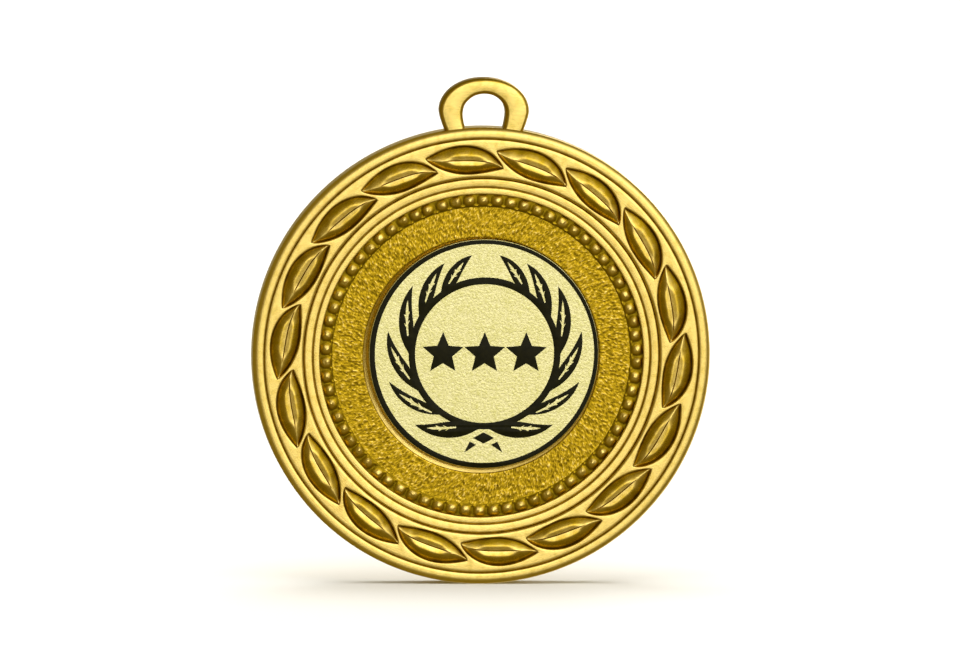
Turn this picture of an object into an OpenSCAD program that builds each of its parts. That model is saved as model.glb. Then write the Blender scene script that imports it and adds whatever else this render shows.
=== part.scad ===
// Round award medal with a leaf border, a beaded ring and a stick-on emblem.
// The medal hangs upright: its face looks towards -Y, its ribbon loop is at the top (+Z)
// and its thickness runs along Y. The origin is the centre of the ribbon loop's eye.
// Each piece is drawn lying down, with its face towards +Z, and stood up at the end.

/* [Medal] */
// Diameter of the medal
medal_d = 50; // [48:0.5:60]
// Thickness of the medal at its rim
medal_t = 3; // [2.6:0.1:4]
// Radius of the rounded outer edge
edge_round = 0.3; // [0.2:0.05:0.6]
// Number of leaves in the border
leaf_count = 18; // [12:1:20]
// Number of beads in the beaded ring
bead_count = 70; // [60:1:76]

/* [Ribbon loop] */
// Widest part of the loop
loop_w = 9.8; // [8:0.1:12]
// How far the loop stands above the medal's edge
loop_rise = 5.35; // [4.8:0.05:7]
// Thickness of the loop
loop_t = 2.4; // [1.6:0.1:2.6]
// Width of the eye that the ribbon or ring goes through
eye_w = 4.7; // [3:0.1:5]
// Height of the eye
eye_h = 3.6; // [3:0.1:3.8]

/* [Emblem] */
// Diameter of the emblem disc
emblem_d = 25.1; // [24:0.1:26]
// How far the emblem is stuck on to the right of the medal's centre
emblem_right = 0.24; // [0:0.01:0.25]
// How far the emblem is stuck on above the medal's centre
emblem_up = 0.22; // [0:0.01:0.25]
// Thickness of the emblem disc
emblem_t = 0.5; // [0.4:0.05:0.7]
// Thickness of the adhesive under the emblem
adhesive_t = 0.1; // [0.05:0.05:0.2]
// Thickness of the black enamel on the emblem
enamel_t = 0.08; // [0.05:0.01:0.15]
// How far the enamel art sits to the right of the emblem's centre
art_right = 0.08; // [0:0.01:0.2]
// How far the enamel art sits above the emblem's centre
art_up = 0.04; // [0:0.01:0.2]
// Number of stars in the centre motif
star_count = 3; // [1:1:3]

/* [Hidden] */
$fn = 96;

gold = "#d9b248";
emblem_gold = "#e6dc98";
enamel_black = "#22220c";
adhesive_white = "#e4e2d8";

sunk = 0.1;                 // how far a raised shape is sunk into what it stands on
clear = 1;                  // how far a cut runs past the surface

// Heights, from the medal's mid-plane
rim_z = medal_t / 2;
band_z = rim_z - 0.05;      // flat top of the leaf band
recess_z = rim_z - 0.8;     // sanded floor between the beads and the emblem
seat_z = recess_z - 0.2;    // floor of the emblem's seat
emblem_z = seat_z + adhesive_t;
art_z = emblem_z + emblem_t;

// Radii of the border's rings, each set in from the medal's edge
medal_r = medal_d / 2;
rim_groove_r = medal_r - 1.24;
rim_groove_half_w = 0.16;
rim_groove_depth = 0.25;
band_inner_r = medal_r - 5.29;
outer_ridge_in_r = medal_r - 6.54;
inner_ridge_in_r = medal_r - 7.32;
bead_in_r = medal_r - 8.69;
line_w = 0.2;               // width of the sunk line before each ridge
outer_ridge_out_z = band_z - 0.3;
outer_ridge_in_z = band_z - 0.4;
outer_ridge_rise = 0.2;
inner_ridge_out_z = band_z - 0.45;
inner_ridge_rise = 0.28;
ridge_steps = 8;            // flats that make up one rounded ridge
edge_steps = 6;             // flats that make up the rounded outer edge

// Groove on the plain back
back_groove_r = medal_r - 2.4;
back_groove_half_w = 0.3;
back_groove_depth = 0.15;

// Leaves of the border
leaf_r = medal_r - 3.46;    // radius of each leaf's centre
leaf_span = 406.8 / leaf_count; // angle that each leaf takes up, a little more than its share of 360
leaf_tip_rise = 0.96;       // how far the tips lie outside and inside leaf_r
leaf_bulge = 5.65;
leaf_tip_power = 1.1;       // how pointed each long edge is at its near end
leaf_round_power = 0.73;    // and how full it is at its far end
leaf_phase = 75.4;          // angle of the first leaf's centre
leaf_depth = 0.45;          // depth of the pocket around each leaf
leaf_height = 0.37;         // height of the leaf above the pocket's floor
leaf_gap = 0.82;            // size of the leaf within its pocket
leaf_steps = 14;
vein_w = 0.2;
vein_end_w = 0.04;
vein_depth = 0.15;
vein_first_step = 4;        // steps along the leaf at which its vein starts and stops
vein_last_step = 12;

// Beads
bead_top_z = recess_z + 0.42;
bead_slope = 0.42;
bead_notch_half_w = 0.42;
bead_notch_h = bead_top_z - recess_z + 0.05;

// Loop and eye
eye_rise = medal_r + eye_h / 2;
loop_wide_y = medal_r + 1.7;
loop_foot_y = medal_r - 0.2; // where the loop's legs meet the medal's edge
loop_root_y = medal_r - 1.2;
loop_leg_pinch = 0.62;
eye_wide_y = medal_r + 1.45;
eye_root_y = medal_r - 0.5;
eye_pinch = 0.4;
squareness = 2.05;          // exponent of the loop's superellipse; 2 would be an ellipse
curve_steps = 24;

// Emblem seat and print
seat_clearance = 0.36;      // a little more than the emblem's farthest shift
adhesive_inset = 0.5;       // how far the adhesive stops short of the emblem's edge
emblem_r = emblem_d / 2;
seat_r = emblem_r + seat_clearance;
emblem_edge_round = 0.06;
emblem_edge_steps = 4;
border_out_r = emblem_r - emblem_edge_round;
border_w = 0.49;
ring_in_r = 7.6;
ring_out_r = 8.35;
wreath_tip_r = 10.85;
// Angles of one side's leaf tips and of the slits beside them, round from the right-hand side
wreath_tips = [98, 114.5, 137, 167, 196.5, 226];
wreath_slits = [113, 133.5, 160, 191.5, 221, 244];
wreath_end = 270;
slit_r = 8.3;
slit_curve = 0.8;           // below 1, a leaf's inner edge leaves its slit steeply
leaf_reach = 0.78;          // share of the way to the next slit at which a leaf's outer edge ends
last_leaf_reach = 0.9;
leaf_fullness = 1.8;        // above 1, a leaf's outer edge is rounded
wreath_steps = 10;
print_vein_half_w = 0.22;
print_vein_tip_r = wreath_tip_r - 0.55;
print_vein_root_r = slit_r + 0.35;
print_vein_tip_lag = 0.3;   // how far the vein's ends lie from the leaf's tip and slit, as shares
print_vein_root_lag = 0.35; // of the angle between the tip and the slit
print_vein_steps = 8;
bow_y = -9.25;
bow_half_w = 1.15;
bow_half_h = 0.62;
bow_tail = [[0.8, -0.75], [1.5, -0.4], [2.1, -1.6]];
star_points = 5;
star_r = 2.35;
star_waist = 0.45;          // a star's inner radius as a share of its outer radius
star_pitch = 4.55;

// Points of a rounded ridge of width in - out on a profile, from radius out down to radius in
function ridge(out_r, in_r, out_z, in_z, rise) =
    [for (i = [0 : ridge_steps])
        let (s = i / ridge_steps)
        [out_r + (in_r - out_r) * s, out_z + (in_z - out_z) * s + rise * sin(180 * s)]];

// Quarter circle of the outer edge; side is 1 at the front and -1 at the back
function edge_point(angle, side) =
    [medal_r - edge_round + edge_round * cos(angle),
     side * (rim_z - edge_round + edge_round * sin(angle))];

// Half of the medal's section: radius and height, from the middle of the back round to the front
function medal_section() = concat(
    [[0, -rim_z],
     [back_groove_r - back_groove_half_w, -rim_z],
     [back_groove_r, -rim_z + back_groove_depth],
     [back_groove_r + back_groove_half_w, -rim_z]],
    [for (i = [0 : edge_steps]) edge_point(90 - 90 * i / edge_steps, -1)],
    [for (i = [0 : edge_steps]) edge_point(90 * i / edge_steps, 1)],
    [[rim_groove_r + rim_groove_half_w, rim_z],
     [rim_groove_r, rim_z - rim_groove_depth],
     [rim_groove_r - rim_groove_half_w, band_z],
     [band_inner_r, band_z]],
    ridge(band_inner_r - line_w, outer_ridge_in_r, outer_ridge_out_z, outer_ridge_in_z, outer_ridge_rise),
    ridge(outer_ridge_in_r - line_w, inner_ridge_in_r, inner_ridge_out_z, recess_z, inner_ridge_rise),
    [[seat_r, recess_z],
     [seat_r, seat_z],
     [0, seat_z]]);

// How far one long edge of a border leaf stands off the line between its tips; s runs from 0 to 1
function leaf_bulge_at(s) = leaf_bulge * pow(s, leaf_tip_power) * pow(1 - s, leaf_round_power);

// Radius of a leaf's outer edge (side 1), inner edge (side -1) or middle (side 0)
function leaf_edge_r(s, side) =
    let (chord = leaf_tip_rise * (1 - 2 * s))
    let (outer = chord + leaf_bulge_at(s))
    let (inner = chord - leaf_bulge_at(1 - s))
    leaf_r + (side > 0 ? outer : side < 0 ? inner : (outer + inner) / 2);

function polar(r, angle) = [r * cos(angle), r * sin(angle)];

// A point of a leaf drawn about its own centre, which lies on the X axis
function leaf_point(s, side) =
    polar(leaf_edge_r(s, side), leaf_span * (0.5 - s)) - [leaf_r, 0];

function leaf_outline() = concat(
    [for (i = [0 : leaf_steps]) leaf_point(i / leaf_steps, 1)],
    [for (i = [leaf_steps - 1 : -1 : 1]) leaf_point(i / leaf_steps, -1)]);

// Upper half of a superellipse, from its right end round to its left end
function arch(half_w, rise) =
    [for (i = [0 : curve_steps])
        let (angle = 180 * i / curve_steps)
        [half_w * sign(cos(angle)) * pow(abs(cos(angle)), 2 / squareness),
         rise * pow(sin(angle), 2 / squareness)]];

function shifted(points, up) = [for (p = points) [p[0], p[1] + up]];

// Angle on the wreath and distance from its middle, for one side (1 left, -1 right)
function wreath_point(r, angle, side) = [side * r * cos(angle), r * sin(angle)];

// Inner edge of a wreath leaf, from its slit out to its tip
function wreath_inner_edge(i, side) =
    [for (k = [0 : wreath_steps - 1])
        let (s = k / wreath_steps)
        wreath_point(slit_r + (wreath_tip_r - slit_r) * s,
                     wreath_slits[i] + (wreath_tips[i] - wreath_slits[i]) * pow(s, slit_curve), side)];

// Outer edge of a wreath leaf, from its tip down to the next leaf's slit
function wreath_outer_edge(i, side) =
    let (last = i == len(wreath_tips) - 1)
    let (end = last ? wreath_end : wreath_slits[i + 1])
    let (reach = last ? last_leaf_reach : leaf_reach)
    [for (k = [0 : wreath_steps])
        let (s = k / (wreath_steps + (last ? 0 : 1)))
        wreath_point(slit_r + (wreath_tip_r - slit_r) * (1 - pow(min(1, s / reach), leaf_fullness)),
                     wreath_tips[i] + (end - wreath_tips[i]) * s, side)];

// One side of the wreath's outline, from the top of the ring down to its bottom
function wreath_side(side) = concat(
    [for (angle = [90 : 5 : 110]) wreath_point(ring_out_r, angle, side)],
    [for (i = [0 : len(wreath_tips) - 1])
        each concat(wreath_inner_edge(i, side), wreath_outer_edge(i, side))]);

function reversed(points) = [for (i = [len(points) - 1 : -1 : 0]) points[i]];

function star_outline(r) =
    [for (i = [0 : 2 * star_points - 1])
        polar(i % 2 == 0 ? r : r * star_waist, 90 + 180 * i / star_points)];

module stand_up() {
    rotate([90, 0, 0])
        translate([0, -eye_rise, 0])
            children();
}

module border_leaf_shape(size) {
    translate([leaf_r, 0])
        scale(size)
            polygon(leaf_outline());
}

// Slit along the middle of a leaf
module vein_shape() {
    middle = [for (i = [vein_first_step : vein_last_step]) leaf_point(i / leaf_steps, 0)];
    last = len(middle) - 1;
    half_w = [for (i = [0 : last]) (vein_end_w + vein_w * sin(180 * i / last)) / 2];
    lower = [for (i = [0 : last]) middle[i] - [half_w[i], 0]];
    upper = [for (i = [0 : last]) middle[i] + [half_w[i], 0]];
    translate([leaf_r, 0])
        polygon(concat(lower, reversed(upper)));
}

module around_border() {
    for (i = [0 : leaf_count - 1])
        rotate(leaf_phase + i * 360 / leaf_count)
            children();
}

module leaf_pockets() {
    around_border()
        translate([0, 0, band_z - leaf_depth])
            linear_extrude(leaf_depth + clear)
                border_leaf_shape(1);
}

module leaf_reliefs() {
    around_border()
        difference() {
            translate([0, 0, band_z - leaf_depth - sunk])
                linear_extrude(leaf_height + sunk)
                    border_leaf_shape(leaf_gap);
            translate([0, 0, band_z - leaf_depth + leaf_height - vein_depth])
                linear_extrude(vein_depth + clear)
                    vein_shape();
        }
}

// Ring of four-sided beads: a ridge that V-shaped notches divide
module bead_ring() {
    out_r = inner_ridge_in_r;
    in_r = bead_in_r;
    difference() {
        rotate_extrude()
            polygon([[in_r, recess_z - sunk], [out_r, recess_z - sunk], [out_r, recess_z],
                     [out_r - bead_slope, bead_top_z], [in_r + bead_slope, bead_top_z], [in_r, recess_z]]);
        for (i = [0 : bead_count - 1])
            rotate((i + 0.5) * 360 / bead_count)
                translate([in_r - clear / 2, 0, recess_z])
                    rotate([90, 0, 90])
                        linear_extrude(out_r - in_r + clear)
                            polygon([[0, 0], [bead_notch_half_w, bead_notch_h],
                                     [-bead_notch_half_w, bead_notch_h]]);
    }
}

module ribbon_loop() {
    half_w = loop_w / 2;
    root_half_w = half_w - loop_leg_pinch;
    eye_half_w = eye_w / 2;
    translate([0, 0, -loop_t / 2])
        linear_extrude(loop_t)
            difference() {
                polygon(concat(
                    shifted(arch(half_w, medal_r + loop_rise - loop_wide_y), loop_wide_y),
                    [[-root_half_w, loop_foot_y], [-root_half_w, loop_root_y],
                     [root_half_w, loop_root_y], [root_half_w, loop_foot_y]]));
                polygon(concat(
                    shifted(arch(eye_half_w, medal_r + eye_h - eye_wide_y), eye_wide_y),
                    [[-eye_half_w + eye_pinch, eye_root_y], [eye_half_w - eye_pinch, eye_root_y]]));
            }
}

module medal_casting() {
    color(gold)
        stand_up()
            union() {
                difference() {
                    rotate_extrude()
                        polygon(medal_section());
                    leaf_pockets();
                }
                leaf_reliefs();
                bead_ring();
                ribbon_loop();
            }
}

// Stands up a part of the emblem, where the emblem is stuck on
module on_emblem() {
    stand_up()
        translate([emblem_right, emblem_up, 0])
            children();
}

module adhesive_disc() {
    color(adhesive_white)
        on_emblem()
            translate([0, 0, seat_z])
                cylinder(h = adhesive_t, r = emblem_r - adhesive_inset);
}

module emblem_disc() {
    color(emblem_gold)
        on_emblem()
            rotate_extrude()
                polygon(concat(
                    [[0, emblem_z], [emblem_r, emblem_z]],
                    [for (i = [0 : emblem_edge_steps])
                        let (angle = 90 * i / emblem_edge_steps)
                        [emblem_r - emblem_edge_round + emblem_edge_round * cos(angle),
                         art_z - emblem_edge_round + emblem_edge_round * sin(angle)]],
                    [[0, art_z]]));
}

module print_art() {
    on_emblem()
        translate([0, 0, art_z])
            linear_extrude(enamel_t)
                children();
}

module emblem_border_enamel() {
    color(enamel_black)
        print_art()
            difference() {
                circle(r = border_out_r);
                translate([art_right, art_up])
                    circle(r = border_out_r - border_w);
            }
}

// Pale vein inside one wreath leaf
module wreath_vein(i, side) {
    span = wreath_slits[i] - wreath_tips[i];
    tip = wreath_point(print_vein_tip_r, wreath_tips[i] + span * print_vein_tip_lag, side);
    root = wreath_point(print_vein_root_r, wreath_slits[i] + span * print_vein_root_lag, side);
    along = (tip - root) / print_vein_steps;
    across = [-along[1], along[0]] / norm(along) * print_vein_half_w;
    swell = [for (k = [0 : print_vein_steps]) sin(180 * k / print_vein_steps)];
    left = [for (k = [0 : print_vein_steps]) root + along * k + across * swell[k]];
    right = [for (k = [1 : print_vein_steps - 1]) root + along * k - across * swell[k]];
    polygon(concat(left, reversed(right)));
}

module emblem_wreath_enamel() {
    color(enamel_black)
        print_art()
            translate([art_right, art_up])
                difference() {
                    polygon(concat(wreath_side(1), reversed(wreath_side(-1))));
                    circle(r = ring_in_r);
                    for (side = [-1, 1])
                        for (i = [0 : len(wreath_tips) - 1])
                            wreath_vein(i, side);
                }
}

module emblem_bow_enamel() {
    color(enamel_black)
        print_art()
            translate([art_right, art_up + bow_y]) {
                polygon([[-bow_half_w, 0], [0, -bow_half_h], [bow_half_w, 0], [0, bow_half_h]]);
                for (side = [-1, 1])
                    scale([side, 1])
                        polygon(bow_tail);
            }
}

module emblem_stars_enamel() {
    color(enamel_black)
        print_art()
            translate([art_right, art_up])
                for (i = [0 : star_count - 1])
                    translate([(i - (star_count - 1) / 2) * star_pitch, 0])
                        polygon(star_outline(star_r));
}

medal_casting();
adhesive_disc();
emblem_disc();
emblem_border_enamel();
emblem_wreath_enamel();
emblem_bow_enamel();
emblem_stars_enamel();
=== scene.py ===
"""Looks of a round award medal: a gold casting with a leaf border, and a stick-on emblem.

Shapes are worked out in millimetres about the medal's centre, lying down with the face towards +Z,
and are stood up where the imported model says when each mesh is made.
"""

import math

import bmesh
import bpy
import numpy as np
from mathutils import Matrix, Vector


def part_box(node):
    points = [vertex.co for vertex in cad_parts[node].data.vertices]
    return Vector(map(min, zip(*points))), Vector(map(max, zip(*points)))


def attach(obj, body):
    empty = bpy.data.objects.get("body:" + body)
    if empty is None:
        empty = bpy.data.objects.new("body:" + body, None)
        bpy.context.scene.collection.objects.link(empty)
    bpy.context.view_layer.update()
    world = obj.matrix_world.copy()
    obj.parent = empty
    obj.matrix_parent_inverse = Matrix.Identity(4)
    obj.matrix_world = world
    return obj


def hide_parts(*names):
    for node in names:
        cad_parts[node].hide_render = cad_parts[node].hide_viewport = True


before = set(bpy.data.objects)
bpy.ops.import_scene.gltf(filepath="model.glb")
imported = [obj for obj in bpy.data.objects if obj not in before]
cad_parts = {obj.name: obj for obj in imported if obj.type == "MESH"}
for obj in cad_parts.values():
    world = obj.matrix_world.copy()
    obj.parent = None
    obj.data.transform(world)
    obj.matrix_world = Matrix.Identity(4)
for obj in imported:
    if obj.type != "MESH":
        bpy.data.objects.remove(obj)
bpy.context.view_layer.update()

MM = 0.001
DEG = math.pi / 180
BODY = "root"
random = np.random.default_rng(12)

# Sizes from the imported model, in millimetres. "up" and "z" are heights in the lying-down position.
casting_lo, casting_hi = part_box("medal_casting")
emblem_lo, emblem_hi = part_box("emblem_disc")
adhesive_lo, adhesive_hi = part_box("adhesive_disc")
enamel_lo, enamel_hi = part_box("emblem_wreath_enamel")
medal_r = (casting_hi.x - casting_lo.x) / 2 / MM
centre_height = casting_lo.z / MM + medal_r
rim_z = (casting_hi.y - casting_lo.y) / 2 / MM
loop_top = casting_hi.z / MM - centre_height
emblem_r = (emblem_hi.x - emblem_lo.x) / 2 / MM
emblem_centre = ((emblem_lo.x + emblem_hi.x) / 2 / MM, (emblem_lo.z + emblem_hi.z) / 2 / MM - centre_height)
emblem_z = -emblem_hi.y / MM
art_z = -emblem_lo.y / MM
enamel_t = (enamel_hi.y - enamel_lo.y) / MM
adhesive_r = (adhesive_hi.x - adhesive_lo.x) / 2 / MM

# Levels and ring radii of the casting
band_z = rim_z - 0.05
recess_z = rim_z - 0.8
seat_z = -adhesive_hi.y / MM
edge_round_out = 0.65   # the outer edge is rounded more across the face than down the side
edge_round_down = 0.42
back_round = 0.2
rim_groove_r = medal_r - 1.24
rim_groove_half_w = 0.08
rim_groove_depth = 0.16
band_outer_r = medal_r - 1.6
band_inner_r = medal_r - 5.19
bead_out_r = medal_r - 7.32
bead_in_r = medal_r - 8.69
seat_r = emblem_r + 0.36
back_groove_r = medal_r - 2.4

RING = 504              # points round each ring of the rim, band and ridges

# Leaf border
LEAVES = 18
leaf_r = medal_r - 3.46   # radius of each leaf's centre
leaf_span = 22.6
leaf_phase = 75.4
leaf_tip_rise = 0.96      # how far the tips lie outside and inside leaf_r
leaf_bulge = 5.65
leaf_tip_power = 1.1
leaf_round_power = 0.73
LEAF_STEPS = 48         # along each long edge of a leaf
TOP_STEPS = RING // LEAVES
TIP_STEPS = 4           # of a leaf's edge steps, those that face the gap beyond the tip
SIDE_STEPS = LEAF_STEPS - TOP_STEPS - TIP_STEPS
leaf_depth = 0.42       # of the pocket along a leaf's edge
leaf_crest = 0.04       # how far a leaf stands above the band where it is widest
leaf_full_w = 1.05      # half width at which a leaf has nearly all its height
hollow_depth = 0.075    # of the spoon-shaped hollow along the middle of a leaf
hollow_share = 0.34     # of each half's width that the hollow takes
hollow_power = 1.15     # how steeply the hollow deepens towards the vein
flank_power = 1.3       # how rounded the flank is between its foot and the hollow
vein_half_w = 0.06
vein_depth = 0.1
# Rows of points across half a leaf cell, from the band's edge in to the vein.
# On the band: distance out from the pocket's edge, and the largest share of the way to the cell's border.
BAND_ROWS = ((0.5, 0.6), (0.16, 0.45), (0.07, 0.2), (0.025, 0.08))
band_round_w = 0.16     # the band turns down towards the pocket over this width
band_round_drop = 0.035
lip_drop = 0.04         # of the pocket's very edge
# On the pocket's wall: distance in, largest share of the half width, share of the depth, patina
WALL_ROWS = ((0.02, 0.08, 0.4, 0.6), (0.045, 0.16, 0.85, 0.95), (0.07, 0.24, 1.0, 1.0))
# On the flank: share of the way from the foot of the wall to the vein's shoulder
FLANK_ROWS = (0.06, 0.16, 0.28, 0.4, 0.52, 0.62, 0.7, 0.78, 0.86, 0.93, 1.0)
# In the vein: share of its half width, and of its depth
VEIN_ROWS = ((0.6, 0.5), (0.25, 0.95), (0.0, 1.0))

# Ridges
RIDGE_ROWS = (0, 0.04, 0.1, 0.2, 0.5, 0.8, 0.9, 0.96, 1)    # shares of the way across a ridge
ridge_rise = 0.05
ridge_power = 7         # how flat a ridge's top is
ridge_patina_power = 12  # how narrow the dark edges of a ridge are

# Beads
BEADS = 70
BEAD_STEPS = 12
bead_h = 0.3
bead_squareness = 2.6   # 2 would be round
bead_top_power = 1.25
bead_roughness = 0.025
bead_size_spread = 0.09
bead_lean_spread = 0.15
burr_h = 0.4            # of the burrs between the beads, as a share of a bead's height

# Sand texture of the recess floor
SAND_ROWS = 22
sand_grain_h = 0.02
sand_swell_h = 0.006
sand_patina = 0.63
sand_patina_swing = 0.25  # how much cleaner the high grains are

# Ribbon loop
loop_half_w = 4.88
loop_half_t = 1.2
loop_wide_up = medal_r + 1.7
loop_foot_up = medal_r - 0.9
loop_pinch = 0.86
eye_half_w = 2.35
eye_top = medal_r + 3.62
eye_wide_up = medal_r + 1.45
eye_pinch = 0.5
loop_round = 0.42
loop_squareness = 2.05

# Emblem disc
emblem_edge_round = 0.06

# Emblem art
art_right = 0.08
art_up = 0.04
border_out_r = emblem_r - emblem_edge_round
border_w = 0.5
ring_in_r = 7.6
ring_out_r = 8.35
wreath_tip_r = 10.85
wreath_tips = [98, 114.5, 137, 167, 196.5, 226]
wreath_slits = [113, 133.5, 160, 191.5, 221, 244]
wreath_end = 270
slit_r = 8.3


# ---------------------------------------------------------------- mesh helpers

class Surface:
    """A mesh being built, in millimetres, with a value at each point for its patina, which on the loop is
    painted shade.
    """

    def __init__(self):
        self.points = []
        self.patina_and_shade = []
        self.faces = []

    def add(self, x, y, z, patina_and_shade=0.0):
        """Adds points and returns their numbers, in the shape that x has."""
        x, y, z, patina_and_shade = np.broadcast_arrays(x, y, z, patina_and_shade)
        first = len(self.points)
        self.points.extend(zip(x.ravel(), y.ravel(), z.ravel()))
        self.patina_and_shade.extend(patina_and_shade.ravel())
        return np.arange(first, len(self.points)).reshape(x.shape)

    def ring(self, count, r, z, patina_and_shade=0.0, turn=0.0):
        angle = turn + np.arange(count) * 2 * math.pi / count
        return self.add(r * np.cos(angle), r * np.sin(angle), z, patina_and_shade)

    def quads(self, grid, flip=False):
        """Faces over a grid of point numbers."""
        a, b, c, d = grid[:-1, :-1], grid[:-1, 1:], grid[1:, 1:], grid[1:, :-1]
        quads = np.stack([a, d, c, b] if flip else [a, b, c, d], axis=-1)
        self.faces.extend(map(tuple, quads.reshape(-1, 4)))

    def bridge(self, a, b):
        """Faces between two rings. They face outwards, going from the back round the edge and in again."""
        if len(a) == len(b):
            self.quads(np.stack([np.append(a, a[0]), np.append(b, b[0])]))
            return
        angle_a, angle_b = self.unrolled(a), self.unrolled(b)
        shift = int(np.argmin(np.abs(angle_b - angle_a[0])))
        b = np.roll(b, -shift)
        angle_b = self.unrolled(b)
        angle_b += 2 * math.pi * np.round((angle_a[0] - angle_b[0]) / (2 * math.pi))
        a, b = np.append(a, a[0]), np.append(b, b[0])
        angle_a = np.append(angle_a, angle_a[0] + 2 * math.pi)
        angle_b = np.append(angle_b, angle_b[0] + 2 * math.pi)
        i = j = 0
        while i < len(a) - 1 or j < len(b) - 1:
            step_a = j == len(b) - 1 or (i < len(a) - 1 and angle_a[i + 1] <= angle_b[j + 1])
            if step_a:
                self.faces.append((a[i], a[i + 1], b[j]))
                i += 1
            else:
                self.faces.append((a[i], b[j + 1], b[j]))
                j += 1

    def unrolled(self, ring):
        points = np.array([self.points[i] for i in ring])
        return np.unwrap(np.arctan2(points[:, 1], points[:, 0]))

    def rings(self, count, profile, before=None, turn=0.0):
        """Adds a joined ring for each (radius, z, patina) of a profile, after the ring before, if any."""
        for r, z, patina_and_shade in profile:
            ring = self.ring(count, r, z, patina_and_shade, turn)
            if before is not None:
                self.bridge(before, ring)
            before = ring
        return before

    def cap(self, ring, z, flip=False):
        """Closes a ring with a fan about the axis."""
        hub = int(self.add(np.array([0.0]), 0.0, z)[0])
        for i, j in zip(ring, np.roll(ring, -1)):
            self.faces.append((i, hub, j) if flip else (i, j, hub))

    def build(self, name, sharp_angle=50, centre=(0, 0)):
        """Makes the mesh object, stood up in the row frame, in metres."""
        mesh = bpy.data.meshes.new(name)
        mesh.from_pydata(self.points, [], self.faces)
        # This attribute holds the patina in the hollows, and the painted shade on the loop's rounded edges
        # and sides.
        layer = mesh.attributes.new("patina_and_shade", "FLOAT", "POINT")
        layer.data.foreach_set("value", np.array(self.patina_and_shade, np.float32))
        work = bmesh.new()
        work.from_mesh(mesh)
        bmesh.ops.remove_doubles(work, verts=work.verts, dist=2e-4)
        bmesh.ops.dissolve_degenerate(work, edges=work.edges, dist=1e-5)
        bmesh.ops.recalc_face_normals(work, faces=work.faces)
        work.to_mesh(mesh)
        work.free()
        return stand_up(name, mesh, sharp_angle, centre)


def stand_up(name, mesh, sharp_angle, centre):
    """Turns a mesh from millimetres lying down to metres in the row frame, and makes its object."""
    flat = np.zeros(len(mesh.vertices) * 3)
    mesh.vertices.foreach_get("co", flat)
    x, y, z = flat.reshape(-1, 3).T
    upright = np.column_stack([x + centre[0], -z, y + centre[1] + centre_height]) * MM
    mesh.vertices.foreach_set("co", upright.ravel())
    mesh.polygons.foreach_set("use_smooth", [True] * len(mesh.polygons))
    mesh.set_sharp_from_angle(angle=sharp_angle * DEG)
    mesh.update()
    piece = bpy.data.objects.new(name, mesh)
    bpy.context.scene.collection.objects.link(piece)
    return piece


def arc(centre_r, centre_z, out, up, start, end, steps, patina_and_shade=0.0):
    """Profile points on an elliptical arc of radii out and up, with angles in degrees."""
    angles = np.linspace(start, end, steps + 1) * DEG
    return [(centre_r + out * math.cos(a), centre_z + up * math.sin(a), patina_and_shade) for a in angles]


def smooth_noise(count, scale, rows=1):
    """Smooth random waves round a ring, about -1 to 1, one row for each value of rows."""
    angle = np.arange(count) * 2 * math.pi / count
    waves = np.zeros((rows, count))
    for k in range(1, scale + 1):
        waves += random.normal(size=(rows, 1)) * np.sin(k * angle + random.uniform(0, 7, (rows, 1)))
    return waves / math.sqrt(scale)


# ---------------------------------------------------------------- casting

def leaf_bulge_at(s):
    return leaf_bulge * s ** leaf_tip_power * (1 - s) ** leaf_round_power


def gap_angle(v):
    """Angle from a leaf's centre to the middle of the gap after it, at height v from leaf_r."""
    return 180 / LEAVES - 3.2 * np.tanh(0.8 * v)


def gap_line():
    """Heights of the points down the middle of a gap, from the band's outer edge to its inner edge."""
    top = band_outer_r - leaf_r
    tip = leaf_tip_rise + 0.03
    return np.concatenate([np.linspace(top, tip, TIP_STEPS + 1)[:-1],
                           np.linspace(tip, -tip, SIDE_STEPS - TIP_STEPS + 1)[:-1],
                           np.linspace(-tip, band_inner_r - leaf_r, TIP_STEPS + 1)])


def cell_border(upper):
    """Border of the band round one leaf that its upper or lower edge looks out on, from tip to tip."""
    down = gap_line()
    right = np.column_stack([gap_angle(down), down])
    left = right - [360 / LEAVES, 0]
    if upper:
        side, first, last = left[:TIP_STEPS + 1][::-1], left[0], right[0]
        end = right[:SIDE_STEPS + 1]
    else:
        side, first, last = left[TIP_STEPS:], left[-1], right[-1]
        end = right[SIDE_STEPS:][::-1]
    across = first + (last - first) * np.linspace(0, 1, TOP_STEPS + 1)[:, None]
    return np.concatenate([side[:-1], across[:-1], end])


def unit_normals(line):
    """Unit normals to the left of a line of points."""
    tangent = np.gradient(line, axis=0)
    tangent /= np.linalg.norm(tangent, axis=1)[:, None] + 1e-9
    return np.column_stack([-tangent[:, 1], tangent[:, 0]])


def between(s, start, grown, fade, end):
    """Rises smoothly from 0 to 1 between start and grown, and falls again between fade and end."""
    rise = np.clip((s - start) / (grown - start), 0, 1)
    fall = np.clip((end - s) / (end - fade), 0, 1)
    return rise * rise * (3 - 2 * rise) * fall * fall * (3 - 2 * fall)


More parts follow.
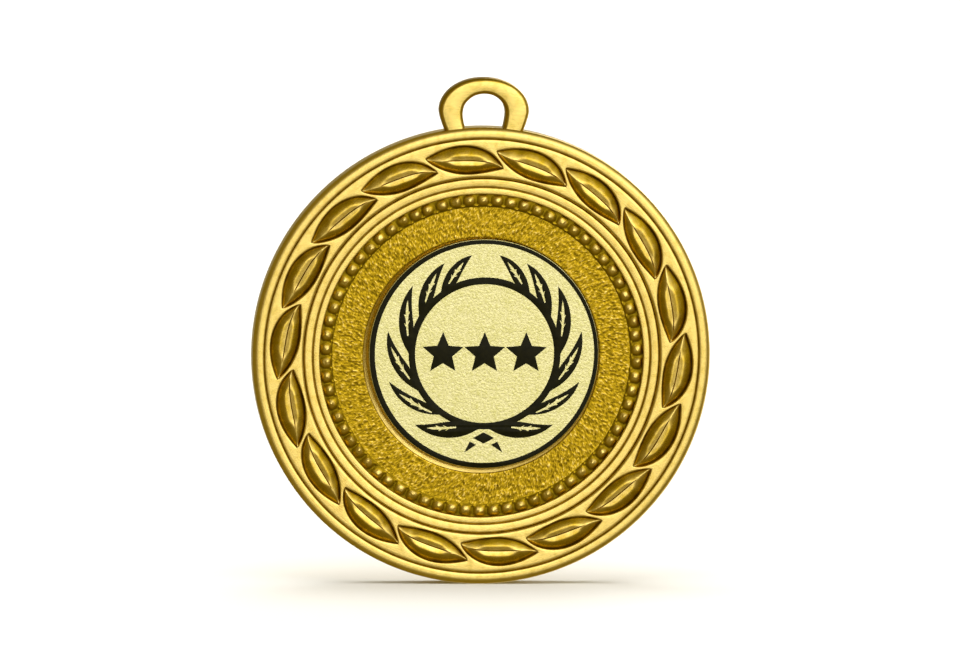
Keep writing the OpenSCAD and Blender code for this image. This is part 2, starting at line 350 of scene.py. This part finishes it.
def add_leaf(casting, centre_angle):
    """One leaf in its pocket, with the band round it."""
    t = np.linspace(0, 1, LEAF_STEPS + 1)
    s = t ** 1.5 / (t ** 1.5 + (1 - t) ** 1.5)
    across = (s - 0.5) * leaf_span
    chord = leaf_tip_rise * (1 - 2 * s)
    edges = {True: np.column_stack([across, chord + leaf_bulge_at(s)]),
             False: np.column_stack([across, chord - leaf_bulge_at(1 - s)])}
    per_degree = np.array([DEG * leaf_r, 1.0])
    middle = (edges[True] + edges[False]) / 2 * per_degree
    middle[:, 1] -= 0.07 * np.sin(math.pi * s)
    vein = between(s, 0.2, 0.3, 0.8, 0.92)
    hollow = between(s, 0.24, 0.37, 0.67, 0.8)
    depth_here = leaf_depth * (1 + random.uniform(-0.05, 0.05))
    for upper, edge in edges.items():
        edge = edge * per_degree
        border = cell_border(upper) * per_degree
        inward = unit_normals(edge) * (-1 if upper else 1)
        away = unit_normals(middle) * (1 if upper else -1)
        width = np.min(np.linalg.norm(edge[:, None] - middle[None], axis=2), axis=1)
        full = 1 - np.exp(-width / 0.16)
        depth = depth_here * full
        swell = width / leaf_full_w
        height = (depth_here + leaf_crest) * swell / (1 + swell ** 4) ** 0.25
        reach = np.linalg.norm(border - edge, axis=1)
        rows = []
        for far, share in ((math.inf, 1.0),) + BAND_ROWS:
            out = np.minimum(far, share * reach)
            drop = band_round_drop * max(0.0, 1 - far / band_round_w) ** 2
            point = edge + (border - edge) * (out / (reach + 1e-9))[:, None]
            rows.append((point, -drop * full, 0.0))
        rows.append((edge, -lip_drop * full, 0.15 * full))
        for inset, share, drop, patina_and_shade in WALL_ROWS:
            point = edge + inward * np.minimum(inset, share * width)[:, None]
            rows.append((point, -drop * depth, patina_and_shade * full))
        foot = rows[-1][0]
        shoulder = middle + away * (0.008 + vein_half_w * vein)[:, None]
        for q in FLANK_ROWS:
            flank = np.minimum(1, q / (1 - hollow_share * hollow))
            rise = 1 - (1 - flank) ** flank_power
            inner = max(0.0, (q - 1 + hollow_share) / hollow_share)
            dip = hollow * hollow_depth * inner ** hollow_power
            patina_and_shade = 0.62 * (1 - q) ** 0.6 + 0.6 * (1 - q) ** 9
            rows.append((foot + (shoulder - foot) * q, height * rise - depth - dip, patina_and_shade * full))
        brink = height - depth - hollow * hollow_depth
        for q, drop in VEIN_ROWS:
            point = middle + (shoulder - middle) * q
            rows.append((point, brink - drop * vein_depth * vein, drop * vein))
        plane = np.stack([row[0] for row in rows])
        level = np.stack([np.broadcast_to(row[1], s.shape) for row in rows])
        patina_and_shade = np.stack([np.broadcast_to(row[2], s.shape) for row in rows])
        angle = centre_angle * DEG - plane[..., 0] / leaf_r
        r = leaf_r + plane[..., 1]
        grid = casting.add(r * np.cos(angle), r * np.sin(angle), band_z + level, patina_and_shade)
        casting.quads(grid, flip=upper)


def band_ring_turn(v):
    """Angle of the first point of the ring where the leaf cells meet the band's edge at height v."""
    return (leaf_phase - gap_angle(v)) * DEG


def back_and_rim(casting):
    """The plain back, the rounded edge, the rim and its groove, up to the leaf band's outer edge."""
    groove = [(back_groove_r - 0.35, -rim_z, 0), (back_groove_r - 0.28, -rim_z + 0.015, 0.2),
              (back_groove_r - 0.1, -rim_z + 0.14, 0.8), (back_groove_r + 0.1, -rim_z + 0.14, 0.8),
              (back_groove_r + 0.28, -rim_z + 0.015, 0.2), (back_groove_r + 0.35, -rim_z, 0)]
    edge = arc(medal_r - back_round, back_round - rim_z, back_round, back_round, -90, 0, 5)
    edge += arc(medal_r - edge_round_out, rim_z - edge_round_down, edge_round_out, edge_round_down, 0, 90, 8)
    w, z, depth = rim_groove_half_w, rim_z, rim_groove_depth
    rim = [(rim_groove_r + w + 0.25, z, 0), (rim_groove_r + w + 0.07, z - 0.012, 0),
           (rim_groove_r + w, z - 0.04, 0.2), (rim_groove_r + 0.4 * w, z - 0.8 * depth, 0.9),
           (rim_groove_r, z - depth, 1), (rim_groove_r - 0.4 * w, z - 0.8 * depth, 0.9),
           (rim_groove_r - w, band_z - 0.03, 0.2), (rim_groove_r - w - 0.06, band_z - 0.008, 0),
           (band_outer_r, band_z, 0)]
    turn = band_ring_turn(band_outer_r - leaf_r)
    first = casting.ring(RING // 4, 4, -rim_z, 0, turn)
    casting.cap(first, -rim_z, flip=True)
    inner_back = casting.rings(RING // 4, [(8, -rim_z, 0)], first, turn)
    casting.rings(RING, [(16, -rim_z, 0)] + groove + edge + rim, inner_back, turn)


def ridges(casting):
    """The steps from the leaf band down to the beads: two rounded ridges with sunk lines between them."""
    line_a, line_b = band_inner_r - 0.38, band_inner_r - 1.36
    profile = [(band_inner_r, band_z, 0), (band_inner_r - 0.08, band_z - 0.006, 0),
               (band_inner_r - 0.2, band_z - 0.03, 0.05), (line_a + 0.09, band_z - 0.08, 0.2),
               (line_a + 0.04, band_z - 0.24, 0.8), (line_a, band_z - 0.3, 1.0)]
    for out_r, in_r, out_z, in_z in ((line_a - 0.06, line_b + 0.05, band_z - 0.2, band_z - 0.22),
                                     (line_b - 0.05, bead_out_r + 0.02, band_z - 0.32, band_z - 0.32)):
        for q in RIDGE_ROWS:
            off_middle = abs(2 * q - 1)
            z = out_z + (in_z - out_z) * q + ridge_rise * (1 - off_middle ** ridge_power)
            profile.append((out_r + (in_r - out_r) * q, z, 0.4 * off_middle ** ridge_patina_power))
        profile.append((in_r - 0.06, in_z - 0.12, 1.0))
    return casting.rings(RING, profile[:-1], None, band_ring_turn(band_inner_r - leaf_r))


def beads(casting, before):
    """The ring of uneven rounded beads, with small burrs between their inner ends."""
    count = BEADS * BEAD_STEPS
    along = (np.arange(count) % BEAD_STEPS) / BEAD_STEPS * 2 - 1
    number = np.arange(count) // BEAD_STEPS
    size = 1 + random.normal(0, bead_size_spread, BEADS)[number]
    lean = random.normal(0, bead_lean_spread, BEADS)[number]
    skew = random.normal(0, bead_lean_spread, BEADS)[number]
    for i in range(BEAD_STEPS + 1):
        out = 1 - 2 * i / BEAD_STEPS
        r = (bead_out_r + bead_in_r) / 2 + out * (bead_out_r - bead_in_r) / 2
        a = np.abs(along - skew * (1 - np.abs(along))) * 1.04
        b = np.abs(out - lean * (1 - abs(out))) * 1.02
        far = np.clip((a ** bead_squareness + b ** bead_squareness) ** (1 / bead_squareness), 0, 1)
        top = 1 - far ** bead_top_power
        burr = burr_h * np.exp(-((1 - np.abs(along)) / 0.3) ** 2 - ((out + 0.8) / 0.15) ** 2)
        z = recess_z + bead_h * (size * top + burr) + random.normal(0, bead_roughness, count) * top
        before_ring = before
        before = casting.ring(count, r, z, np.clip(1.1 - 1.6 * top - 2 * burr, 0, 1))
        casting.bridge(before_ring, before)
    return before


def sanded_recess(casting, before):
    """The sand-textured floor, and the emblem's seat."""
    count = BEADS * BEAD_STEPS
    for i in range(SAND_ROWS):
        r = bead_in_r - 0.06 + (seat_r + 0.03 - bead_in_r + 0.06) * i / (SAND_ROWS - 1)
        fade = min(1, i / 2, (SAND_ROWS - 1 - i) / 2)
        grain = random.normal(0, 1, count)
        swell = smooth_noise(count, 60)[0]
        z = recess_z + fade * (sand_grain_h * grain + sand_swell_h * swell)
        angle_shift = fade * random.normal(0, 0.18, count) * 2 * math.pi / count
        angle = np.arange(count) * 2 * math.pi / count + angle_shift
        radius = r + fade * random.normal(0, 0.02, count)
        patina_and_shade = np.clip(sand_patina - sand_patina_swing * grain, 0, 1)
        ring = casting.add(radius * np.cos(angle), radius * np.sin(angle), z, patina_and_shade)
        casting.bridge(before, ring)
        before = ring
    low = BEADS * 3
    before = casting.rings(low, [(seat_r, recess_z - 0.03, 0.2), (seat_r, seat_z + 0.03, 0.3),
                                 (seat_r - 0.04, seat_z, 0), (6, seat_z, 0)], before)
    casting.cap(before, seat_z)


def superellipse(half_w, rise, steps):
    """Upper half of a superellipse, from its left end to its right end."""
    angle = np.linspace(math.pi, 0, steps + 1)
    power = 2 / loop_squareness
    x = half_w * np.sign(np.cos(angle)) * np.abs(np.cos(angle)) ** power
    return np.column_stack([x, rise * np.abs(np.sin(angle)) ** power])


def loop_line(half_w, wide_up, top, foot, pinch):
    """Outline of one side of the loop's band, from its left foot over the top to its right foot."""
    arch = superellipse(half_w, top - wide_up, 44) + [0, wide_up]
    t = np.linspace(1, 0, 11)[:-1]
    left = np.column_stack([-half_w + pinch * t ** 1.4, wide_up + (foot - wide_up) * t])
    right = left[::-1] * [-1, 1]
    return np.concatenate([left, arch, right])


def loop_painted_shade(z):
    """Painted shade on the loop: none on its flat faces, some round its rounded corners and most on its
    sides.
    """
    if abs(z) > loop_half_t - 0.01:
        return 0.0
    if abs(z) > loop_half_t - 0.1:
        return 0.35
    return 0.6


def ribbon_loop(casting):
    """The flat loop, with rounded edges, its feet sunk into the rim."""
    outer = loop_line(loop_half_w, loop_wide_up, loop_top, loop_foot_up, loop_pinch)
    inner = loop_line(eye_half_w, eye_wide_up, eye_top, loop_foot_up, eye_pinch)
    wobble = smooth_noise(len(outer), 9, 2)
    outer = outer * (1 - 0.0012 * (1 + wobble[0])[:, None] * [1, 0])
    inner = inner + 0.015 * wobble[1][:, None] * [1, 0]
    across = inner - outer
    width = np.linalg.norm(across, axis=1)
    across = across / width[:, None]
    section = []
    for corner, (inner_side, side) in enumerate(((0, 1), (1, 1), (1, -1), (0, -1))):
        for a in np.linspace(180, 90, 6) * DEG - corner * math.pi / 2:
            section.append((inner_side, loop_round * math.cos(a),
                            side * (loop_half_t - loop_round) + loop_round * math.sin(a)))
    columns = []
    for inner_side, shift, z in section:
        inside = (width - loop_round if inner_side else np.full_like(width, loop_round)) + shift
        point = outer + across * inside[:, None]
        # The loop's painted shade goes into the patina attribute, which darkens the gold there.
        columns.append(casting.add(point[:, 0], point[:, 1], z, loop_painted_shade(z)))
    grid = np.stack(columns + columns[:1])
    casting.quads(grid)
    for end in (0, -1):
        casting.faces.append(tuple(grid[:-1, end]))


def make_casting():
    casting = Surface()
    back_and_rim(casting)
    for i in range(LEAVES):
        add_leaf(casting, leaf_phase + i * 360 / LEAVES)
    sanded_recess(casting, beads(casting, ridges(casting)))
    ribbon_loop(casting)
    return casting.build("medal_casting_relief")


# ---------------------------------------------------------------- emblem

def make_emblem_disc():
    disc = Surface()
    r, rounding = emblem_r, emblem_edge_round
    first = disc.ring(90, 5, emblem_z)
    disc.cap(first, emblem_z, flip=True)
    profile = [(r - rounding, emblem_z, 0), (r, emblem_z + 0.05, 0)]
    profile += arc(r - rounding, art_z - rounding, rounding, rounding, 0, 90, 5)
    profile += [(r - 0.1, art_z, 0), (r - 0.4, art_z, 0), (8, art_z, 0), (5, art_z, 0)]
    last = disc.rings(360, profile, first)
    last = disc.rings(90, [(3, art_z, 0)], last)
    disc.cap(last, art_z)
    return disc.build("emblem_disc_stamped", 60, emblem_centre)


def make_adhesive():
    disc = Surface()
    low, high = seat_z, emblem_z
    first = disc.ring(90, 5, low)
    disc.cap(first, low, flip=True)
    last = disc.rings(180, [(adhesive_r - 0.02, low, 0), (adhesive_r, (low + high) / 2, 0),
                            (adhesive_r - 0.02, high, 0), (5, high, 0)], first)
    disc.cap(last, high)
    return disc.build("adhesive_pad", 50, emblem_centre)


def enamel_piece(name, outlines, soften=0.012):
    """A thin raised layer with softened edges, filling the outlines; an outline inside another is a hole."""
    curve = bpy.data.curves.new(name, "CURVE")
    curve.dimensions = "2D"
    curve.fill_mode = "BOTH"
    curve.extrude = enamel_t / 2 - soften
    curve.bevel_depth = soften
    curve.bevel_resolution = 1
    curve.offset = -soften
    for outline in outlines:
        spline = curve.splines.new("POLY")
        spline.points.add(len(outline) - 1)
        flat = np.column_stack([outline, np.zeros(len(outline)), np.ones(len(outline))])
        spline.points.foreach_set("co", flat.ravel())
        spline.use_cyclic_u = True
    holder = bpy.data.objects.new(name, curve)
    bpy.context.scene.collection.objects.link(holder)
    bpy.context.view_layer.update()
    mesh = bpy.data.meshes.new_from_object(holder.evaluated_get(bpy.context.evaluated_depsgraph_get()))
    bpy.data.objects.remove(holder)
    bpy.data.curves.remove(curve)
    work = bmesh.new()
    work.from_mesh(mesh)
    bmesh.ops.remove_doubles(work, verts=work.verts, dist=1e-4)
    bmesh.ops.translate(work, verts=work.verts, vec=(0, 0, art_z + enamel_t / 2))
    bmesh.ops.recalc_face_normals(work, faces=work.faces)
    work.to_mesh(mesh)
    work.free()
    mesh.name = name
    return stand_up(name, mesh, 30, emblem_centre)


def circle(r, count=240):
    angle = np.arange(count) * 2 * math.pi / count
    return np.column_stack([r * np.cos(angle), r * np.sin(angle)])


def polar(r, angle):
    return np.column_stack([r * np.cos(angle * DEG), r * np.sin(angle * DEG)])


def wreath_side():
    """Outline of the wreath's left half, from the top of the ring down to its bottom."""
    parts = [polar(np.full(8, ring_out_r), np.linspace(90, 111, 8))]
    grow = wreath_tip_r - slit_r
    for i, tip in enumerate(wreath_tips):
        s = np.linspace(0, 1, 15)[:-1]
        parts.append(polar(slit_r + grow * s, wreath_slits[i] + (tip - wreath_slits[i]) * s ** 0.8))
        last = i == len(wreath_tips) - 1
        end = wreath_end if last else wreath_slits[i + 1]
        reach = 0.9 if last else 0.78
        s = np.linspace(0, 1, 25)[:None if last else -1]
        parts.append(polar(slit_r + grow * (1 - np.minimum(1, s / reach) ** 1.8), tip + (end - tip) * s))
    return np.concatenate(parts)


def wreath_vein(i):
    """Pale vein with side barbs inside one leaf of the left half."""
    span = wreath_slits[i] - wreath_tips[i]
    root, bend, tip = polar(np.array([slit_r + 0.3, slit_r + 0.95, wreath_tip_r - 0.55]),
                            wreath_slits[i] - span * np.array([-0.32, 0.06, 0.64]))
    half = [(0.0, 0.0), (0.03, 0.09), (0.2, 0.13), (0.3, 0.13), (0.41, 0.36), (0.43, 0.34), (0.38, 0.14),
            (0.55, 0.19), (0.64, 0.36), (0.66, 0.34), (0.64, 0.19), (0.8, 0.17), (0.92, 0.09), (1.0, 0.0)]
    other = [(s + (0.08 if 0.25 < s < 0.7 else 0), -w) for s, w in half[1:-1]]
    outline = []
    for s, w in half + other[::-1]:
        along = (bend - root) * 2 * (1 - s) + (tip - bend) * 2 * s
        across = np.array([-along[1], along[0]]) / np.linalg.norm(along)
        centre = root * (1 - s) ** 2 + bend * 2 * s * (1 - s) + tip * s * s
        outline.append(centre + across * w * 0.85)
    return np.array(outline)


def mirrored(outline):
    return outline * [-1, 1]


def make_enamels():
    art = np.array([art_right, art_up])
    border = enamel_piece("emblem_border_line", [circle(border_out_r), circle(border_out_r - border_w) + art])
    left = wreath_side()
    outline = np.concatenate([left[:-1], mirrored(left)[::-1][:-1]])
    veins = [wreath_vein(i) for i in range(len(wreath_tips))]
    holes = [circle(ring_in_r)] + veins + [mirrored(vein) for vein in veins]
    wreath = enamel_piece("emblem_wreath_print", [part + art for part in [outline] + holes])
    knot = np.array([[-1.15, 0], [0, -0.62], [1.15, 0], [0, 0.62]])
    tail = np.array([[0.8, -0.75], [1.5, -0.4], [2.1, -1.6]])
    bow = enamel_piece("emblem_bow_print", [part + art + [0, -9.25] for part in (knot, tail, mirrored(tail))])
    corner = np.arange(10)
    star = polar(np.where(corner % 2 == 0, 2.35, 2.35 * 0.45), 90 + 36 * corner)
    stars = enamel_piece("emblem_stars_print", [star + art + [4.55 * i, 0] for i in (-1, 0, 1)])
    return {"emblem_border_enamel": border, "emblem_wreath_enamel": wreath,
            "emblem_bow_enamel": bow, "emblem_stars_enamel": stars}


# ---------------------------------------------------------------- materials

class Nodes:
    """Short calls for building the nodes of one material or world."""

    def __init__(self, owner):
        owner.use_nodes = True
        self.owner = owner
        self.tree = owner.node_tree
        self.shader = self.tree.nodes.get("Principled BSDF") or self.tree.nodes["Background"]

    def add(self, kind, inputs=None, **settings):
        node = self.tree.nodes.new("ShaderNode" + kind)
        for name, value in settings.items():
            setattr(node, name, value)
        for socket, value in (inputs or {}).items():
            self.put(node.inputs[socket], value)
        return node

    def put(self, socket, value):
        if isinstance(value, bpy.types.NodeSocket):
            self.tree.links.new(value, socket)
        else:
            socket.default_value = value

    def math(self, operation, a, b=0.0, clamp=False):
        return self.add("Math", {0: a, 1: b}, operation=operation, use_clamp=clamp).outputs[0]

    def noise(self, scale, detail=2.0, where=None, rough=0.5):
        where = where or self.place()
        return self.add("TexNoise", {"Vector": where, "Scale": scale, "Detail": detail,
                                     "Roughness": rough}).outputs["Fac"]

    def place(self):
        """Position in millimetres from the medal's centre."""
        coords = self.add("TexCoord").outputs["Object"]
        moved = self.add("VectorMath", {0: coords, 1: (0, 0, centre_height * MM)}, operation="SUBTRACT")
        return self.add("VectorMath", {0: moved.outputs[0], "Scale": 1 / MM}, operation="SCALE").outputs[0]

    def lathe_place(self, along=0.6, across=9.0):
        """Coordinates stretched round the medal, for marks that run in circles."""
        split = self.add("SeparateXYZ", {0: self.place()})
        x, z = split.outputs["X"], split.outputs["Z"]
        radius = self.math("SQRT", self.math("ADD", self.math("MULTIPLY", x, x), self.math("MULTIPLY", z, z)))
        angle = self.math("ARCTAN2", z, x)
        return self.add("CombineXYZ", {"X": self.math("MULTIPLY", radius, across),
                                       "Y": self.math("MULTIPLY", angle, along * 20)}).outputs[0]

    def range(self, value, low, high, to_low=0.0, to_high=1.0):
        return self.add("MapRange", {"Value": value, "From Min": low, "From Max": high,
                                     "To Min": to_low, "To Max": to_high}).outputs[0]

    def mix(self, factor, a, b):
        node = self.add("Mix", data_type="RGBA")
        for socket, value in ((0, factor), (6, a), (7, b)):
            self.put(node.inputs[socket], value)
        return node.outputs[2]

    def bump(self, height, depth_mm, strength=1.0, normal=None):
        node = self.add("Bump", {"Height": height, "Distance": depth_mm * MM, "Strength": strength})
        if normal is not None:
            self.put(node.inputs["Normal"], normal)
        return node.outputs[0]


def gold_material():
    n = Nodes(bpy.data.materials.new("antique_gold"))
    # Darker where the patina attribute is higher: real patina in the hollows, painted shade on the loop's
    # edges and sides.
    patina_and_shade = n.add("Attribute", attribute_name="patina_and_shade").outputs["Fac"]
    blotch = n.noise(1.3, 3)
    fine = n.noise(14, 3)
    patina_and_shade_amount = n.math("ADD", patina_and_shade, n.range(blotch, 0.35, 0.65, -0.1, 0.1), clamp=True)
    tone = n.mix(n.range(blotch, 0.3, 0.7), (0.98, 0.73, 0.21, 1), (0.94, 0.69, 0.18, 1))
    tone = n.mix(n.range(fine, 0.3, 0.7, 0, 0.25), tone, (1.0, 0.81, 0.33, 1))
    middle = n.mix(n.range(patina_and_shade_amount, 0, 0.5), tone, (0.62, 0.405, 0.014, 1))
    dark = n.mix(fine, (0.13, 0.082, 0.002, 1), (0.24, 0.158, 0.006, 1))
    n.put(n.shader.inputs["Base Color"], n.mix(n.range(patina_and_shade_amount, 0.5, 1.0, 0, 0.9), middle, dark))
    n.put(n.shader.inputs["Metallic"], 1.0)
    lathe = n.noise(1.0, 2, n.lathe_place())
    rough = n.math("ADD", n.range(patina_and_shade_amount, 0, 1, 0.17, 0.34), n.range(fine, 0.3, 0.7, -0.03, 0.05))
    n.put(n.shader.inputs["Roughness"], rough)
    normal = n.bump(lathe, 0.006)
    normal = n.bump(fine, 0.012, 1.0, normal)
    n.put(n.shader.inputs["Normal"], normal)
    return n.owner


def emblem_material():
    n = Nodes(bpy.data.materials.new("emblem_gold"))
    grain = n.noise(5, 2, rough=0.7)
    blotch = n.noise(0.9, 2)
    tone = n.mix(n.range(grain, 0.35, 0.68), (0.96, 0.90, 0.49, 1), (0.74, 0.70, 0.24, 1))
    tone = n.mix(n.range(blotch, 0.3, 0.7, 0, 0.3), tone, (0.98, 0.92, 0.54, 1))
    n.put(n.shader.inputs["Base Color"], tone)
    n.put(n.shader.inputs["Metallic"], 0.85)
    n.put(n.shader.inputs["Roughness"], n.range(grain, 0.3, 0.7, 0.18, 0.26))
    n.put(n.shader.inputs["Normal"], n.bump(grain, 0.025))
    return n.owner


def enamel_material():
    n = Nodes(bpy.data.materials.new("black_enamel"))
    cloud = n.noise(1.6, 3)
    fine = n.noise(12, 2)
    tone = n.mix(n.range(cloud, 0.3, 0.7), (0.010, 0.010, 0.001, 1), (0.024, 0.023, 0.003, 1))
    n.put(n.shader.inputs["Base Color"], tone)
    n.put(n.shader.inputs["Roughness"], n.range(fine, 0.3, 0.7, 0.38, 0.5))
    n.shader.inputs["Specular IOR Level"].default_value = 0.15
    n.put(n.shader.inputs["Normal"], n.bump(fine, 0.004))
    return n.owner


def adhesive_material():
    n = Nodes(bpy.data.materials.new("adhesive"))
    cloud = n.noise(4, 3)
    n.put(n.shader.inputs["Base Color"], n.mix(cloud, (0.72, 0.70, 0.62, 1), (0.82, 0.80, 0.74, 1)))
    n.put(n.shader.inputs["Roughness"], n.range(cloud, 0.3, 0.7, 0.6, 0.8))
    n.put(n.shader.inputs["Normal"], n.bump(cloud, 0.01))
    return n.owner


def finish_piece(piece, node, material):
    piece.data.materials.append(material)
    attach(piece, BODY)
    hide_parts(node)


# ---------------------------------------------------------------- stage

ROOM_COLOUR = (0.20, 0.155, 0.03)
GLOW_LEVEL = 2.08
REAR_GLOW = 0.32        # share of the glow's level that lights the back
REAR_AXIS = (0.68, 0.68, -0.27)
# Axis across the glow, where the glow's middle lies along it, and its spread
GLOW_AXES = [((0.707, 0, 0.707), 0.3, 0.4), ((-0.707, 0, 0.707), -0.02, 0.34)]


def aim(thing, place, target, roll=0.0):
    """Puts a light or camera at a place, looking at a target, rolled clockwise by an angle in degrees."""
    look = Vector(target) - Vector(place)
    turn = look.to_track_quat("-Z", "Y").to_matrix().to_4x4()
    thing.matrix_world = Matrix.Translation(place) @ turn @ Matrix.Rotation(roll * DEG, 4, "Z")


def area_light(name, place, target, width, height, power, colour=(1, 1, 1)):
    data = bpy.data.lights.new(name, "AREA")
    data.shape = "RECTANGLE"
    data.size = width
    data.size_y = height
    data.energy = power
    data.color = colour
    light = bpy.data.objects.new(name, data)
    bpy.context.scene.collection.objects.link(light)
    aim(light, place, target)


def make_camera(middle):
    data = bpy.data.cameras.new("camera")
    distance = 1.2
    view_width = 0.1046
    data.lens = data.sensor_width * distance / view_width
    data.clip_start = 0.01
    camera = bpy.data.objects.new("camera", data)
    bpy.context.scene.collection.objects.link(camera)
    azimuth, elevation = -5.3 * DEG, 6.3 * DEG
    target = middle + Vector((-0.11 * MM, 0, 2.56 * MM))
    back = Vector((math.sin(azimuth) * math.cos(elevation), -math.cos(azimuth) * math.cos(elevation),
                      math.sin(elevation)))
    aim(camera, target + back * distance, target, roll=0.7)
    bpy.context.scene.camera = camera


def make_floor(height):
    """Pale floor with its own overhead light. Reflections pass through it to the room's light."""
    mesh = bpy.data.meshes.new("floor")
    side = 20.0
    mesh.from_pydata([(-side, -side, height), (side, -side, height), (side, side, height),
                      (-side, side, height)], [], [(0, 1, 2, 3)])
    floor = bpy.data.objects.new("floor", mesh)
    bpy.context.scene.collection.objects.link(floor)
    floor.visible_glossy = False
    floor.visible_diffuse = False
    n = Nodes(bpy.data.materials.new("pale_floor"))
    n.put(n.shader.inputs["Base Color"], (0.9, 0.9, 0.9, 1))
    n.put(n.shader.inputs["Roughness"], 0.8)
    n.shader.inputs["Specular IOR Level"].default_value = 0.1
    mesh.materials.append(n.owner)
    only_floor = bpy.data.collections.new("lit_by_overhead")
    only_floor.objects.link(floor)
    sun = bpy.data.lights.new("overhead", "SUN")
    sun.energy = 3.2
    sun.angle = 60 * DEG
    light = bpy.data.objects.new("overhead", sun)
    bpy.context.scene.collection.objects.link(light)
    light.light_linking.receiver_collection = only_floor


def make_world():
    """A dim room with a large soft glow in front, a weaker one behind, and a white background."""
    world = bpy.data.worlds.new("studio")
    n = Nodes(world)
    direction = n.add("TexCoord").outputs["Generated"]
    away = 0.0
    for axis, centre, spread in GLOW_AXES:
        along = n.add("VectorMath", {0: direction, 1: axis}, operation="DOT_PRODUCT").outputs["Value"]
        step = n.math("DIVIDE", n.math("SUBTRACT", along, centre), spread)
        away = n.math("ADD", away, n.math("MULTIPLY", step, step))
    glow = n.math("EXPONENT", n.math("MULTIPLY", away, -1.0))
    front = n.add("VectorMath", {0: direction, 1: (0, -1, 0)}, operation="DOT_PRODUCT").outputs["Value"]
    glow = n.math("MULTIPLY", glow, n.range(front, 0.0, 0.3))
    rear = n.add("VectorMath", {0: direction, 1: REAR_AXIS}, operation="DOT_PRODUCT").outputs["Value"]
    glow = n.math("ADD", glow, n.range(rear, 0.5, 0.95, 0, REAR_GLOW))
    light = n.add("VectorMath", {0: (GLOW_LEVEL,) * 3, "Scale": glow}, operation="SCALE").outputs[0]
    light = n.add("VectorMath", {0: light, 1: ROOM_COLOUR}, operation="ADD").outputs[0]
    seen = n.add("LightPath").outputs["Is Camera Ray"]
    n.put(n.shader.inputs["Color"], n.mix(seen, light, (1, 1, 1, 1)))
    bpy.context.scene.world = world


def make_stage():
    middle = Vector((0, 0, centre_height * MM))
    make_camera(middle)
    make_floor(casting_lo.z)
    make_world()
    area_light("back_fill", (0.4, 0.7, 0.4), middle, 0.6, 0.5, 1.5)
    bpy.context.scene.view_settings.view_transform = "Standard"


gold = gold_material()
finish_piece(make_casting(), "medal_casting", gold)
finish_piece(make_emblem_disc(), "emblem_disc", emblem_material())
finish_piece(make_adhesive(), "adhesive_disc", adhesive_material())
enamel = enamel_material()
for enamel_node, enamel_layer in make_enamels().items():
    finish_piece(enamel_layer, enamel_node, enamel)
make_stage()
